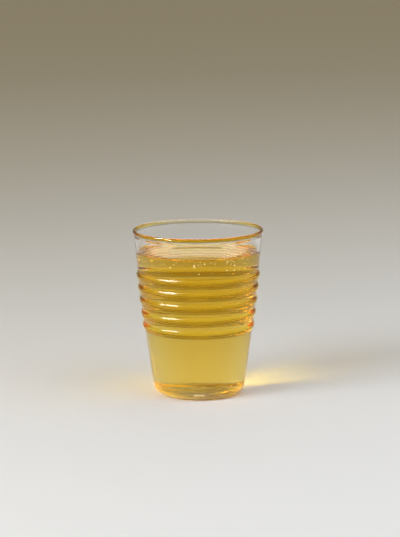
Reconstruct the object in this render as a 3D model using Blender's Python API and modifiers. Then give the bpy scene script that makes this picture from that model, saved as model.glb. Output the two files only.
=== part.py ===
"""A glass cup of tea: a blown, tapered tumbler with five ribs, filled with yellow tea.

Metres, +Z up. The origin is the centre of the flat underside that the glass stands on.
"""

import math

import bpy

# The wall's outer line, without its ribs: a parabola through three radii
HEIGHT = 0.102
FOOT_RADIUS = 0.0274
WAIST_RADIUS = 0.0343  # at half the height
MOUTH_RADIUS = 0.0394

# The five ribs, rings of glass laid round the wall by hand, so not evenly spaced
RIB_HEIGHTS = (0.0428, 0.0505, 0.0588, 0.0667, 0.0740)
RIB_ROUND = 0.0034  # radius of a rib's section
RIB_PROUD = 0.0009  # how far it stands out of the wall
RIB_FILLET = 0.0004

# The rim: a fire-polished bead on a lip that opens a little
BEAD_WIDTH = 0.0016
BEAD_HEIGHT = 0.0021
BEAD_PROUD = 0.0004  # how far it stands out of the lip
LIP_FLARE = 0.0002
LIP_REACH = 0.0025

# The glass's thickness and its two rounded corners
WALL_TOP = 0.0013
WALL_BOTTOM = 0.0022
BOTTOM_THICKNESS = 0.0045
HEEL_ROUND = 0.0070  # outside, between the wall and the underside
HOLLOW_ROUND = 0.0026  # inside, between the wall and the bottom

# The tea
TEA_LEVEL = 0.0876
MENISCUS_RISE = 0.0015
MENISCUS_REACH = 0.0019
GAP = 0.0003  # between the tea and the glass

# Where the sections are sampled, and how many times they are repeated round the axis
RIB_SAMPLES = (-1.0, -0.7, -0.55, -0.3, 0.0, 0.3, 0.55, 0.7, 1.0)  # from a rib's centre, in its radii
LIP_SAMPLES = (1.15, 2.4, 6.0)  # below the rim, in reaches of the flare
SURFACE_SAMPLES = (0.0, 0.75, 0.84, 0.9, 0.94, 0.975, 1.0)  # from the axis, in radii of the tea
WALL_STEP = 0.008
CLOSEST = 0.0004
STEPS = 48


def wall_radius(z):
    """Outer radius of the bare wall at height z."""
    bend = (FOOT_RADIUS + MOUTH_RADIUS) / 2 - WAIST_RADIUS
    share = z / HEIGHT
    straight = FOOT_RADIUS + (MOUTH_RADIUS - FOOT_RADIUS) * share
    flare = LIP_FLARE * math.exp((z - HEIGHT) / LIP_REACH)
    return straight - 4 * bend * share * (1 - share) + flare


def rib_bulge(z):
    """How far the ribs stand out of the wall at height z: round crests with filleted feet."""
    bulge = 0.0
    for centre in RIB_HEIGHTS:
        inside = max(RIB_ROUND**2 - (z - centre) ** 2, 0.0)
        proud = math.sqrt(inside) - (RIB_ROUND - RIB_PROUD)
        bulge = max(bulge, (proud + math.hypot(proud, RIB_FILLET)) / 2)
    return bulge


def outer_radius(z):
    return wall_radius(z) + rib_bulge(z)


def inner_radius(z):
    return wall_radius(z) - WALL_BOTTOM - (WALL_TOP - WALL_BOTTOM) * z / HEIGHT


def tea_radius(z):
    return inner_radius(z) - GAP


def spread(low, high, points):
    """Evenly spaced values from low to high."""
    return [low + (high - low) * i / (points - 1) for i in range(points)]


def arc(centre, radii, start, end, points):
    """Points (r, z) on an ellipse, from angle start to angle end in degrees."""
    angles = [math.radians(degrees) for degrees in spread(start, end, points)]
    return [(centre[0] + radii[0] * math.cos(a), centre[1] + radii[1] * math.sin(a)) for a in angles]


def corner(radius_at, floor, rounding, points):
    """The rounded corner between the wall that radius_at gives and a floor, from the wall to the floor."""
    top = floor + rounding
    lean = math.atan2(radius_at(top) - radius_at(floor), rounding)
    meeting = top - rounding * math.sin(lean)
    centre = (radius_at(meeting) - rounding * math.cos(lean), top)
    return arc(centre, (rounding, rounding), -math.degrees(lean), -90, points)


def ribbed_heights():
    """Heights where the ribbed stretch of the wall is sampled, from the bottom up."""
    wanted = sorted(centre + RIB_ROUND * sample for centre in RIB_HEIGHTS for sample in RIB_SAMPLES)
    kept = wanted[:1]
    for z in wanted[1:]:
        if z - kept[-1] > CLOSEST:
            kept.append(z)
    return kept


def glass_profile():
    """The glass's section, from the middle of its inner bottom, over the rim, to the middle of its underside."""
    hollow = corner(inner_radius, BOTTOM_THICKNESS, HOLLOW_ROUND, 8)[::-1]
    inside = spread(hollow[-1][1] + WALL_STEP, HEIGHT - 2 * BEAD_HEIGHT, 7)
    bead_centre = (wall_radius(HEIGHT) + BEAD_PROUD - BEAD_WIDTH / 2, HEIGHT - BEAD_HEIGHT / 2)
    bead = arc(bead_centre, (BEAD_WIDTH / 2, BEAD_HEIGHT / 2), 210, -30, 9)
    heel = corner(wall_radius, 0.0, HEEL_ROUND, 7)
    outside = [HEIGHT - LIP_REACH * sample for sample in LIP_SAMPLES]
    outside += ribbed_heights()[::-1]
    outside += spread(RIB_HEIGHTS[0] - WALL_STEP, heel[0][1] + WALL_STEP, 3)
    return [
        (0.0, BOTTOM_THICKNESS),
        *hollow,
        *[(inner_radius(z), z) for z in inside],
        *bead,
        *[(outer_radius(z), z) for z in outside],
        *heel,
        (0.0, 0.0),
    ]


def tea_profile():
    """The tea's section, from the middle of its surface, up the meniscus and down the wall to its underside."""
    edge = tea_radius(TEA_LEVEL + MENISCUS_RISE)
    surface = []
    for sample in SURFACE_SAMPLES:
        climb = MENISCUS_RISE * math.exp((sample - 1) * edge / MENISCUS_REACH)
        surface.append((edge * sample, TEA_LEVEL + climb))
    bottom = corner(tea_radius, BOTTOM_THICKNESS + GAP, HOLLOW_ROUND - GAP, 8)
    side = spread(TEA_LEVEL - WALL_STEP, bottom[0][1] + WALL_STEP, 6)
    return [
        *surface,
        *[(tea_radius(z), z) for z in side],
        *bottom,
        (0.0, BOTTOM_THICKNESS + GAP),
    ]


def material(name, colour, roughness, ior):
    """A clear material of this colour."""
    made = bpy.data.materials.new(name)
    made.use_nodes = True
    shader = made.node_tree.nodes["Principled BSDF"]
    shader.inputs["Base Color"].default_value = (*colour, 1)
    shader.inputs["Metallic"].default_value = 0
    shader.inputs["Roughness"].default_value = roughness
    shader.inputs["IOR"].default_value = ior
    shader.inputs["Transmission Weight"].default_value = 1
    return made


def turned(name, profile, look, collection):
    """A solid turned round +Z from its section."""
    mesh = bpy.data.meshes.new(name)
    edges = [(i, i + 1) for i in range(len(profile) - 1)]
    mesh.from_pydata([(r, 0, z) for r, z in profile], edges, [])
    mesh.materials.append(look)
    piece = bpy.data.objects.new(name, mesh)
    collection.objects.link(piece)
    screw = piece.modifiers.new("turn", "SCREW")
    screw.axis = "Z"
    screw.steps = STEPS
    screw.render_steps = STEPS
    screw.use_merge_vertices = True
    screw.merge_threshold = 0.00001
    screw.use_smooth_shade = True


def main():
    for left_over in list(bpy.data.objects):
        bpy.data.objects.remove(left_over, do_unlink=True)
    collection = bpy.data.collections.new("glass_cup_of_tea")
    bpy.context.scene.collection.children.link(collection)

    clear_glass = material("clear_glass", (0.95, 0.93, 0.86), 0.02, 1.5)
    yellow_tea = material("yellow_tea", (0.78, 0.56, 0.08), 0.03, 1.33)
    turned("glass_cup", glass_profile(), clear_glass, collection)
    turned("tea", tea_profile(), yellow_tea, collection)


main()
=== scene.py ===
"""The looks of the glass cup of tea: clear blown glass, amber ribs and rim, yellow tea with bubbles.

Metres, +Z up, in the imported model's own frame: the glass stands on z = 0, centred on the origin.
"""

import math
import random

import bmesh
import bpy
from mathutils import Matrix, Vector


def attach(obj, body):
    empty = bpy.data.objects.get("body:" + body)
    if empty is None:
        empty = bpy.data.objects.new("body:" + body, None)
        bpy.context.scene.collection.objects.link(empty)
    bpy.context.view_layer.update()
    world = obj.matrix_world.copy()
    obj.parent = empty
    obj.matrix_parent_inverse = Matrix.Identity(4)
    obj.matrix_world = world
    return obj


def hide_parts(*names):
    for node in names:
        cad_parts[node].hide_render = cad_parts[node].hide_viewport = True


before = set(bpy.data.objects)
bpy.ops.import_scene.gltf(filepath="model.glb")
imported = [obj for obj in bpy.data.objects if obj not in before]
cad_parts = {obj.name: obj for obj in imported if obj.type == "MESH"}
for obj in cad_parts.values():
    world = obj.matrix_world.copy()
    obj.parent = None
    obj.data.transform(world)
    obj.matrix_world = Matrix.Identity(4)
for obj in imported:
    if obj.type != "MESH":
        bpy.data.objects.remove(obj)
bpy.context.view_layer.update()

# The wall's outer line, as in the solids: a parabola through three radii, with a slightly open lip
HEIGHT = 0.102
FOOT_RADIUS = 0.0274
WAIST_RADIUS = 0.0343
MOUTH_RADIUS = 0.0394
LIP_FLARE = 0.0002
LIP_REACH = 0.0025

# The five ribs, laid round the wall: each wanders up and down in one wave that goes round the
# glass once and a second that goes round it twice
RIB_HEIGHTS = (0.0428, 0.0505, 0.0588, 0.0667, 0.0740)
RIB_ROUND = 0.0034  # radius of a rib's section
RIB_PROUD = 0.0009  # how far it stands out of the wall
RIB_FILLET = 0.0004
RIB_SWAY = 0.00018  # height of the first wave
SECOND_SWAY = 0.5  # height of the second, as a share of the first
SECOND_START = 0.6  # radians
RIB_TURNS = (2.4, 1.7)  # how far the two waves are turned from one rib to the next, in radians

# The rim's bead
BEAD_WIDTH = 0.0016
BEAD_HEIGHT = 0.0021
BEAD_PROUD = 0.0004  # how far it stands out of the lip
BEAD_SPAN = (210, -30)  # its round side, in degrees, from the inner wall over the top to the outer wall

# The glass's thickness and rounded corners
WALL_TOP = 0.0013
WALL_BOTTOM = 0.0022
BOTTOM_THICKNESS = 0.0045
HEEL_ROUND = 0.0070  # outside, between the wall and the underside
HOLLOW_ROUND = 0.0026  # inside, between the wall and the bottom

# The tea, which reaches just into the wall
TEA_LEVEL = 0.0876
MENISCUS_RISE = 0.0015
MENISCUS_REACH = 0.0019
INTO_WALL = 0.00025

# The bubbles, which cling to the glass just under the tea's surface, most of them at the front right.
# Each sector is from and to, in degrees to the right of the front, and how many bubbles it has.
BUBBLE_SECTORS = ((-42, 24, 26), (24, 58, 34), (58, 318, 40))
BUBBLE_TOP = 0.0002  # above the tea's level, in its meniscus
BUBBLE_DEPTH = 0.0075
BUBBLE_CROWDING = 1.4  # above 1, more of them are near the surface
BUBBLE_SMALLEST = 0.00017
BUBBLE_SPREAD = 0.00026  # how much larger the largest is
BUBBLE_CLEARANCE = 0.0001
BUBBLE_FINENESS = 2
BUBBLE_DRAW = 7  # the seed of their places and sizes

# The amber glass: each rib, to a little way into the wall, and a thread in the rim's bead
RIB_WRAP = 0.00012  # how far a rib's colour stands out of its skin
RIB_DEPTH = 0.0005
RIM_SKIN = 0.00004  # clear glass round the rim's amber thread
# Painted paleness: the thread thins towards the back, away from the camera, so the back of the rim shows
# pale, as reflection and refraction make it look
RIM_PAINTED_PALE_BACK = 0.8  # how much thinner the thread is at the back

# What a metre of each takes out of red, green and blue
TEA_LOSS = (0.5, 6.8, 40)
RIB_LOSS = (7, 56, 720)
RIM_LOSS = (60, 330, 2500)

# Painted glints: each bubble is an opaque pale-yellow ball that glows with its own light, in place of
# the light that bubbles catch
BUBBLE_PAINTED_GLINT_COLOUR = (1.0, 0.88, 0.5)
BUBBLE_PAINTED_GLINT = 0.6
BUBBLE_ROUGHNESS = 0.4

# How much each bends light
AIR_IOR = 1.0
GLASS_IOR = 1.5
TEA_IOR = 1.333

# The waves in the glass's skin: slow and low on the wall, close and high in the foot
WALL_GRAIN = 60  # waves a metre
WALL_STRETCH = (1, 1, 0.5)
WALL_RIPPLE = 0.00001  # how high the waves are
FOOT_GRAIN = 280
FOOT_RIPPLE = 0.0004
WAVE_DETAIL = 2

# The shine: how much of their own the bare wall and the bead keep, and how much the ribs' coat adds
WALL_MIRROR = 0.12
BEAD_MIRROR = 0.25
RIB_SHINE = 0.12
RIB_POLISH = 0.15  # roughness of the coat

# How finely the turned pieces are made
TURN_STEPS = 256
RIB_STEP = 0.0003
LIP_STEP = 0.0009
WALL_STEP = 0.0016
UNDER_BEAD = 0.0006  # from the bead to the first point of the wall under it
RIBBED_REACH = 0.0047  # how far the finely made stretch goes past the outer ribs' middles
MENISCUS_STRETCH = 0.010  # the outer part of the tea's surface, which is made finely
DISC_POINTS = 8
CORNER_POINTS = 24
HEEL_POINTS = 20
BEAD_POINTS = 25
RIB_POINTS = 19
THREAD_POINTS = 24
MENISCUS_POINTS = 50
MERGE_DISTANCE = 1e-7
NEAR_WALL = 0.0003  # a face this near the inner wall's line is part of it
SLACK = 0.00001  # for comparing heights

# The camera: where it stands, how far it looks down, and its roll, which the photograph has too
CAMERA_PLACE = (0.0011, -1.2, 0.2943)
CAMERA_DOWN = math.radians(10.25)
CAMERA_ROLL = math.radians(-0.45)
FOCAL_PIXELS = 1985.7
PHOTO_HEIGHT_PIXELS = 537
SENSOR = 36  # millimetres

# The studio: a softbox at the left throws the shadow, and a broad window at the right lights the floor.
# The four cards are there to shine in the glass, and two of them also shine through it.
LIT_POINT = (0.0, 0.0, 0.04)  # what the lights are aimed at, except the window
KEY_AZIMUTH = math.radians(50)  # to the left of the camera
KEY_ELEVATION = math.radians(31)
KEY_DISTANCE = 1.2
KEY_SIDES = (0.66, 0.22)
KEY_POWER = 9.8
KEY_COLOUR = (0.94, 0.98, 1.05)
WINDOW_PLACE = (1.1, -0.6, 0.9)
WINDOW_AIM = (1.5, -0.2, 0.0)
WINDOW_SIDES = (2.0, 1.4)
WINDOW_POWER = 14.4
WINDOW_COLOUR = (0.87, 0.97, 1.16)
CARD_COLOUR = (1.0, 1.0, 1.0)
GLINT_AZIMUTH = math.radians(64)  # the card that glints in the ribs, at the softbox's elevation
GLINT_DISTANCE = 1.3
GLINT_SIDES = (0.80, 0.60)
GLINT_POWER = 190.0
TOP_PLACE = (0.0, 1.2, 1.6)
TOP_SIDES = (1.6, 1.6)
TOP_POWER = 36.0
BACK_PLACE = (0.0, 2.2, 0.545)  # the card that the tea's surface mirrors
BACK_SIDES = (0.36, 0.165)
BACK_POWER = 0.1
BACK_COLOUR = (1.08, 1.02, 0.89)
RIGHT_PLACE = (1.6, 0.1, 0.75)
RIGHT_SIDES = (1.6, 1.2)
RIGHT_POWER = 4.8
AMBIENT = (0.325, 0.278, 0.180)
FLOOR_COLOUR = (0.74, 0.735, 0.73)
FLOOR_ROUGHNESS = 0.9
FLOOR_SHINE = 0.1
FLOOR_DROP = 0.0002  # the air under the glass's bottom
FLOOR_REACH = 9.0
FLOOR_CORNERS = 96

# How often light may pass through the glass, mirror in it and be scattered by the floor
BOUNCES = 64
MIRROR_BOUNCES = 48
FLOOR_BOUNCES = 3


def wall_radius(z):
    """Outer radius of the bare wall at height z."""
    bend = (FOOT_RADIUS + MOUTH_RADIUS) / 2 - WAIST_RADIUS
    share = z / HEIGHT
    straight = FOOT_RADIUS + (MOUTH_RADIUS - FOOT_RADIUS) * share
    flare = LIP_FLARE * math.exp((z - HEIGHT) / LIP_REACH)
    return straight - 4 * bend * share * (1 - share) + flare


def rib_height(rib, angle):
    """The height of a rib's middle at this angle round the glass."""
    first = math.sin(angle + RIB_TURNS[0] * rib)
    second = math.sin(2 * angle + RIB_TURNS[1] * rib + SECOND_START)
    return RIB_HEIGHTS[rib] + RIB_SWAY * (first + SECOND_SWAY * second)


def rib_bulge(z, angle):
    """How far the ribs stand out of the wall: round crests with filleted feet."""
    bulge = 0.0
    for rib in range(len(RIB_HEIGHTS)):
        inside = max(RIB_ROUND**2 - (z - rib_height(rib, angle)) ** 2, 0.0)
        proud = math.sqrt(inside) - (RIB_ROUND - RIB_PROUD)
        bulge = max(bulge, (proud + math.hypot(proud, RIB_FILLET)) / 2)
    return bulge


def inner_radius(z):
    """Inner radius of the wall at height z."""
    return wall_radius(z) - WALL_BOTTOM - (WALL_TOP - WALL_BOTTOM) * z / HEIGHT


def spread(low, high, points):
    """Evenly spaced values from low to high."""
    return [low + (high - low) * i / (points - 1) for i in range(points)]


def stations(low, high, step):
    """Heights from low to high, about a step apart."""
    return spread(low, high, max(2, math.ceil(abs(high - low) / step) + 1))


def arc(centre, radii, start, end, points):
    """Points (r, z) on an ellipse, from angle start to angle end in degrees."""
    angles = [math.radians(degrees) for degrees in spread(start, end, points)]
    return [(centre[0] + radii[0] * math.cos(a), centre[1] + radii[1] * math.sin(a)) for a in angles]


def corner(radius_at, floor, rounding, points):
    """The rounded corner from the wall that radius_at gives down to a floor."""
    top = floor + rounding
    lean = math.atan2(radius_at(top) - radius_at(floor), rounding)
    meeting = top - rounding * math.sin(lean)
    centre = (radius_at(meeting) - rounding * math.cos(lean), top)
    return arc(centre, (rounding, rounding), -math.degrees(lean), -90, points)


def bead_centre():
    """The middle of the bead's section, as a radius and a height."""
    return (wall_radius(HEIGHT) + BEAD_PROUD - BEAD_WIDTH / 2, HEIGHT - BEAD_HEIGHT / 2)


def piece_from(mesh, work):
    """A smooth piece, named as its mesh, which is filled from this finished bmesh."""
    work.to_mesh(mesh)
    work.free()
    mesh.shade_smooth()
    piece = bpy.data.objects.new(mesh.name, mesh)
    bpy.context.scene.collection.objects.link(piece)
    return piece


def turned(name, section_at, closed=False):
    """A piece turned round +Z. section_at gives the section's points (r, z) at an angle.

    An open section starts and ends on the axis; a closed one is a ring's.
    """
    rows = []
    for i in range(TURN_STEPS):
        angle = 2 * math.pi * i / TURN_STEPS
        rows.append([(r * math.cos(angle), r * math.sin(angle), z) for r, z in section_at(angle)])
    count = len(rows[0])
    points = [point for row in rows for point in row]
    faces = []
    for i in range(TURN_STEPS):
        here, there = i * count, (i + 1) % TURN_STEPS * count
        for j in range(count if closed else count - 1):
            k = (j + 1) % count
            faces.append((here + j, there + j, there + k, here + k))
    mesh = bpy.data.meshes.new(name)
    mesh.from_pydata(points, [], faces)
    work = bmesh.new()
    work.from_mesh(mesh)
    bmesh.ops.remove_doubles(work, verts=work.verts, dist=MERGE_DISTANCE)
    bmesh.ops.recalc_face_normals(work, faces=work.faces)
    return piece_from(mesh, work)


def shader_of(name):
    """A new material and its Principled node."""
    made = bpy.data.materials.new(name)
    made.use_nodes = True
    return made, made.node_tree.nodes["Principled BSDF"]


def clear(name, ior, mirror=1.0):
    """A clear material and its Principled node. mirror is how much of its own shine it keeps."""
    made, shader = shader_of(name)
    shader.inputs["Base Color"].default_value = (1, 1, 1, 1)
    shader.inputs["Roughness"].default_value = 0.0
    shader.inputs["IOR"].default_value = ior
    shader.inputs["Transmission Weight"].default_value = 1
    shader.inputs["Specular Tint"].default_value = (mirror, mirror, mirror, 1)
    return made, shader


def absorb(made, lost_per_metre):
    """Fills a clear material with colour: what each metre takes out of red, green and blue."""
    tree = made.node_tree
    volume = tree.nodes.new("ShaderNodeVolumeAbsorption")
    most = max(lost_per_metre)
    volume.inputs["Density"].default_value = most
    volume.inputs["Color"].default_value = (*[1 - lost / most for lost in lost_per_metre], 1)
    tree.links.new(volume.outputs["Volume"], tree.nodes["Material Output"].inputs["Volume"])


def by_face(made, socket, mask_name, elsewhere, there):
    """Sets a shader's value by face: one where the mesh's mask is 1, another elsewhere."""
    tree = made.node_tree
    mask = tree.nodes.new("ShaderNodeAttribute")
    mask.attribute_name = mask_name
    span = tree.nodes.new("ShaderNodeMapRange")
    span.inputs["To Min"].default_value = elsewhere
    span.inputs["To Max"].default_value = there
    tree.links.new(mask.outputs["Fac"], span.inputs["Value"])
    tree.links.new(span.outputs["Result"], socket)


def mark_faces(piece, mask_name, belongs):
    """Writes a mask on a mesh: 1 on the faces whose centre belongs, by its radius and height, else 0."""
    mask = piece.data.attributes.new(mask_name, "FLOAT", "FACE")
    for face in piece.data.polygons:
        out = math.hypot(face.center.x, face.center.y)
        mask.data[face.index].value = 1.0 if belongs(out, face.center.z) else 0.0


def ripple(made, shader, grain, height, stretch=(1, 1, 1)):
    """The waves that blowing and turning leave in a surface."""
    tree = made.node_tree
    place = tree.nodes.new("ShaderNodeTexCoord")
    sized = tree.nodes.new("ShaderNodeMapping")
    sized.inputs["Scale"].default_value = stretch
    noise = tree.nodes.new("ShaderNodeTexNoise")
    noise.inputs["Scale"].default_value = grain
    noise.inputs["Detail"].default_value = WAVE_DETAIL
    bump = tree.nodes.new("ShaderNodeBump")
    bump.inputs["Strength"].default_value = 1
    bump.inputs["Distance"].default_value = height
    tree.links.new(place.outputs["Object"], sized.inputs["Vector"])
    tree.links.new(sized.outputs["Vector"], noise.inputs["Vector"])
    tree.links.new(noise.outputs["Fac"], bump.inputs["Height"])
    tree.links.new(bump.outputs["Normal"], shader.inputs["Normal"])


def glass_looks():
    """The glass's five materials, by the part of it that each is for."""
    wall, wall_shader = clear("blown_glass", GLASS_IOR, mirror=WALL_MIRROR)
    wet_wall, wet_shader = clear("glass_under_tea", GLASS_IOR / TEA_IOR)
    bead, _ = clear("polished_bead", GLASS_IOR, mirror=BEAD_MIRROR)
    foot, foot_shader = clear("blown_foot", GLASS_IOR, mirror=WALL_MIRROR)
    wet_floor, floor_shader = clear("floor_under_tea", GLASS_IOR / TEA_IOR)
    for look, shader in ((wall, wall_shader), (wet_wall, wet_shader)):
        ripple(look, shader, WALL_GRAIN, WALL_RIPPLE, WALL_STRETCH)
    for look, shader in ((foot, foot_shader), (wet_floor, floor_shader)):
        ripple(look, shader, FOOT_GRAIN, FOOT_RIPPLE)
    return {"wall": wall, "wet wall": wet_wall, "bead": bead, "foot": foot, "wet floor": wet_floor}


def glass_look_at(out, z):
    """Which of the glass's materials a face has, by its centre's radius and height."""
    if out < inner_radius(z) + NEAR_WALL and BOTTOM_THICKNESS / 2 < z < TEA_LEVEL + MENISCUS_RISE:
        return "wet floor" if z < BOTTOM_THICKNESS + HOLLOW_ROUND / 2 else "wet wall"
    if z > HEIGHT - BEAD_HEIGHT:
        return "bead"
    return "foot" if z < HEEL_ROUND / 2 else "wall"


def make_glass():
    """The tumbler, from the middle of its inner bottom, over the rim, to the middle of its underside."""
    hollow = corner(inner_radius, BOTTOM_THICKNESS, HOLLOW_ROUND, CORNER_POINTS)[::-1]
    bead = arc(bead_centre(), (BEAD_WIDTH / 2, BEAD_HEIGHT / 2), *BEAD_SPAN, BEAD_POINTS)
    inside = stations(hollow[-1][1] + WALL_STEP, bead[0][1] - WALL_STEP, WALL_STEP)
    heel = corner(wall_radius, 0.0, HEEL_ROUND, HEEL_POINTS)
    ribbed_top = RIB_HEIGHTS[-1] + RIBBED_REACH
    ribbed_foot = RIB_HEIGHTS[0] - RIBBED_REACH
    above = stations(bead[-1][1] - UNDER_BEAD, ribbed_top + RIB_STEP, LIP_STEP)
    ribbed = stations(ribbed_top, ribbed_foot, RIB_STEP)
    below = stations(ribbed_foot - RIB_STEP, heel[0][1] + WALL_STEP, WALL_STEP)
    bottom = [(r, BOTTOM_THICKNESS) for r in spread(0.0, hollow[0][0], DISC_POINTS)[:-1]]
    underside = [(r, 0.0) for r in spread(heel[-1][0], 0.0, DISC_POINTS)[1:]]
    inner_wall = [(inner_radius(z), z) for z in inside]

    def section(angle):
        outside = [(wall_radius(z) + rib_bulge(z, angle), z) for z in above + ribbed + below]
        return bottom + hollow + inner_wall + bead + outside + heel + underside

    piece = turned("glass_body", section)
    looks = glass_looks()
    for look in looks.values():
        piece.data.materials.append(look)
    names = list(looks)
    for face in piece.data.polygons:
        out = math.hypot(face.center.x, face.center.y)
        face.material_index = names.index(glass_look_at(out, face.center.z))
    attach(piece, "root")
    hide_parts("glass_cup")


def make_amber():
    """The amber of the ribs and the rim: rings of colour that share the glass's place."""
    amber, shader = clear("amber_rib", AIR_IOR, mirror=0.0)
    shader.inputs["Coat Roughness"].default_value = RIB_POLISH
    by_face(amber, shader.inputs["Coat Weight"], "outer_skin", 0.0, RIB_SHINE)
    absorb(amber, RIB_LOSS)
    half = math.sqrt(RIB_ROUND**2 - (RIB_ROUND - RIB_PROUD) ** 2)
    for rib in range(len(RIB_HEIGHTS)):

        def section(angle, rib=rib):
            middle = rib_height(rib, angle)
            out, back = [], []
            for z in spread(middle - half, middle + half, RIB_POINTS):
                share = (z - middle) / half
                out.append((wall_radius(z) + rib_bulge(z, angle) + RIB_WRAP, z))
                back.append((wall_radius(z) - RIB_DEPTH * (1 - share**2), z))
            return out + back[::-1]

        piece = turned(f"amber_rib_{rib + 1}", section, closed=True)
        piece.data.materials.append(amber)
        mark_faces(piece, "outer_skin", lambda r, z: r > wall_radius(z) + RIB_WRAP / 2)
        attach(piece, "root")

    rim, _ = clear("amber_bead", AIR_IOR, mirror=0.0)
    absorb(rim, RIM_LOSS)
    radii = (BEAD_WIDTH / 2 - RIM_SKIN, BEAD_HEIGHT / 2 - RIM_SKIN)
    last = 360 - 360 / THREAD_POINTS

    # the thread thins towards the back, seen from the camera: painted paleness at the back of the rim
    def thread(angle):
        behind = 0.5 + 0.5 * math.sin(angle)  # 0 at the front, 1 at the back
        full = 1 - RIM_PAINTED_PALE_BACK * behind**2
        return arc(bead_centre(), [radius * full for radius in radii], 0, last, THREAD_POINTS)

    piece = turned("amber_rim", thread, closed=True)
    piece.data.materials.append(rim)
    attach(piece, "root")


def make_tea():
    """The tea, up to its level and its meniscus."""
    edge = inner_radius(TEA_LEVEL + MENISCUS_RISE)

    def surface_height(r):
        return TEA_LEVEL + MENISCUS_RISE * math.exp(min(r - edge, 0.0) / MENISCUS_REACH)

    def side_radius(z):
        return inner_radius(z) + INTO_WALL

    flat = [(r, surface_height(r)) for r in spread(0.0, edge - MENISCUS_STRETCH, DISC_POINTS)[:-1]]
    climb = [(r, surface_height(r)) for r in spread(edge - MENISCUS_STRETCH, edge, MENISCUS_POINTS)]
    tip = [(edge + INTO_WALL, TEA_LEVEL + MENISCUS_RISE)]
    bottom = corner(side_radius, BOTTOM_THICKNESS - INTO_WALL, HOLLOW_ROUND + INTO_WALL, CORNER_POINTS)
    side = [(side_radius(z), z) for z in stations(TEA_LEVEL, bottom[0][1] + WALL_STEP, WALL_STEP)]
    underside = [(r, BOTTOM_THICKNESS - INTO_WALL) for r in spread(bottom[-1][0], 0.0, DISC_POINTS)[1:]]
    profile = flat + climb + tip + side + bottom + underside
    piece = turned("tea_body", lambda angle: profile)
    tea, shader = clear("yellow_tea", TEA_IOR)
    absorb(tea, TEA_LOSS)
    by_face(tea, shader.inputs["IOR"], "open_surface", AIR_IOR, TEA_IOR)
    piece.data.materials.append(tea)
    mark_faces(piece, "open_surface", lambda r, z: r < edge and z > TEA_LEVEL - SLACK)
    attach(piece, "root")
    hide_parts("tea")


def make_bubbles():
    """Small bubbles that cling to the glass, just under the tea's surface: opaque pale-yellow balls that
    glow with a painted glint, though they are no lamp.
    """
    draw = random.Random(BUBBLE_DRAW)
    work = bmesh.new()
    for low, high, count in BUBBLE_SECTORS:
        for _ in range(count):
            angle = math.radians(draw.uniform(low, high))
            z = TEA_LEVEL + BUBBLE_TOP - BUBBLE_DEPTH * draw.random() ** BUBBLE_CROWDING
            radius = BUBBLE_SMALLEST + BUBBLE_SPREAD * draw.random() ** 2
            out = inner_radius(z) - radius - BUBBLE_CLEARANCE
            place = Matrix.Translation((out * math.sin(angle), -out * math.cos(angle), z))
            bmesh.ops.create_icosphere(work, subdivisions=BUBBLE_FINENESS, radius=radius, matrix=place)
    piece = piece_from(bpy.data.meshes.new("tea_bubbles"), work)
    # painted glint: a pale-yellow glow on each bubble, though it is no lamp
    air, shader = shader_of("bubble_painted_glint")
    shader.inputs["Base Color"].default_value = (*BUBBLE_PAINTED_GLINT_COLOUR, 1)
    shader.inputs["Roughness"].default_value = BUBBLE_ROUGHNESS
    shader.inputs["Emission Color"].default_value = (*BUBBLE_PAINTED_GLINT_COLOUR, 1)
    shader.inputs["Emission Strength"].default_value = BUBBLE_PAINTED_GLINT
    piece.data.materials.append(air)
    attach(piece, "root")


def aim(thing, place, at):
    """Puts a thing in its place and turns it to a point."""
    thing.location = place
    thing.rotation_euler = (Vector(at) - Vector(place)).to_track_quat("-Z", "Y").to_euler()


def from_lit_point(azimuth, elevation, distance):
    """A place seen from the lit point: azimuth to the left of the camera, elevation above the floor."""
    flat = distance * math.cos(elevation)
    height = LIT_POINT[2] + distance * math.sin(elevation)
    return (-flat * math.sin(azimuth), -flat * math.cos(azimuth), height)


def area_light(name, place, sides, power, colour, at=LIT_POINT):
    """A rectangular light that is aimed at a point."""
    data = bpy.data.lights.new(name, "AREA")
    data.shape = "RECTANGLE"
    data.size, data.size_y = sides
    data.energy = power
    data.color = colour
    light = bpy.data.objects.new(name, data)
    bpy.context.scene.collection.objects.link(light)
    aim(light, place, at)
    return light


def make_floor():
    bpy.ops.mesh.primitive_circle_add(vertices=FLOOR_CORNERS, radius=FLOOR_REACH, fill_type="NGON")
    floor = bpy.context.object
    floor.name = "studio_floor"
    floor.location.z = -FLOOR_DROP
    paper, shader = shader_of("pale_paper")
    shader.inputs["Base Color"].default_value = (*FLOOR_COLOUR, 1)
    shader.inputs["Roughness"].default_value = FLOOR_ROUGHNESS
    shader.inputs["Specular IOR Level"].default_value = FLOOR_SHINE
    floor.data.materials.append(paper)


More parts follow.
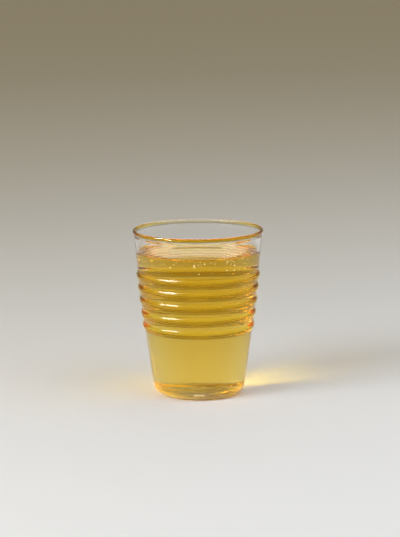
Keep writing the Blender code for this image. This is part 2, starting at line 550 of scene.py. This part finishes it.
def make_lights():
    key = from_lit_point(KEY_AZIMUTH, KEY_ELEVATION, KEY_DISTANCE)
    area_light("softbox", key, KEY_SIDES, KEY_POWER, KEY_COLOUR)
    window = area_light("window", WINDOW_PLACE, WINDOW_SIDES, WINDOW_POWER, WINDOW_COLOUR, WINDOW_AIM)
    window.visible_glossy = False
    beside = from_lit_point(GLINT_AZIMUTH, KEY_ELEVATION, GLINT_DISTANCE)
    side = area_light("side_card", beside, GLINT_SIDES, GLINT_POWER, CARD_COLOUR)
    top = area_light("top_card", TOP_PLACE, TOP_SIDES, TOP_POWER, CARD_COLOUR)
    back = area_light("back_card", BACK_PLACE, BACK_SIDES, BACK_POWER, BACK_COLOUR)
    right = area_light("right_card", RIGHT_PLACE, RIGHT_SIDES, RIGHT_POWER, CARD_COLOUR)
    for card in (side, top, back, right):
        card.visible_diffuse = False
        card.visible_transmission = card in (back, right)

    world = bpy.data.worlds.new("studio_air")
    world.use_nodes = True
    world.node_tree.nodes["Background"].inputs["Color"].default_value = (*AMBIENT, 1)
    bpy.context.scene.world = world


def make_camera():
    data = bpy.data.cameras.new("camera")
    data.sensor_width = SENSOR
    data.lens = FOCAL_PIXELS * SENSOR / PHOTO_HEIGHT_PIXELS
    camera = bpy.data.objects.new("camera", data)
    camera.location = CAMERA_PLACE
    pitch = Matrix.Rotation(math.pi / 2 - CAMERA_DOWN, 4, "X")
    roll = Matrix.Rotation(CAMERA_ROLL, 4, "Z")
    camera.rotation_euler = (pitch @ roll).to_euler()
    bpy.context.scene.collection.objects.link(camera)
    bpy.context.scene.camera = camera


def set_light_paths():
    scene = bpy.context.scene
    scene.view_settings.view_transform = "Standard"
    cycles = scene.cycles
    cycles.max_bounces = BOUNCES
    cycles.transmission_bounces = BOUNCES
    cycles.glossy_bounces = MIRROR_BOUNCES
    cycles.diffuse_bounces = FLOOR_BOUNCES
    cycles.caustics_reflective = True
    cycles.caustics_refractive = True
    cycles.blur_glossy = 0.0
    cycles.use_denoising = True


make_glass()
make_amber()
make_tea()
make_bubbles()
make_floor()
make_lights()
make_camera()
set_light_paths()
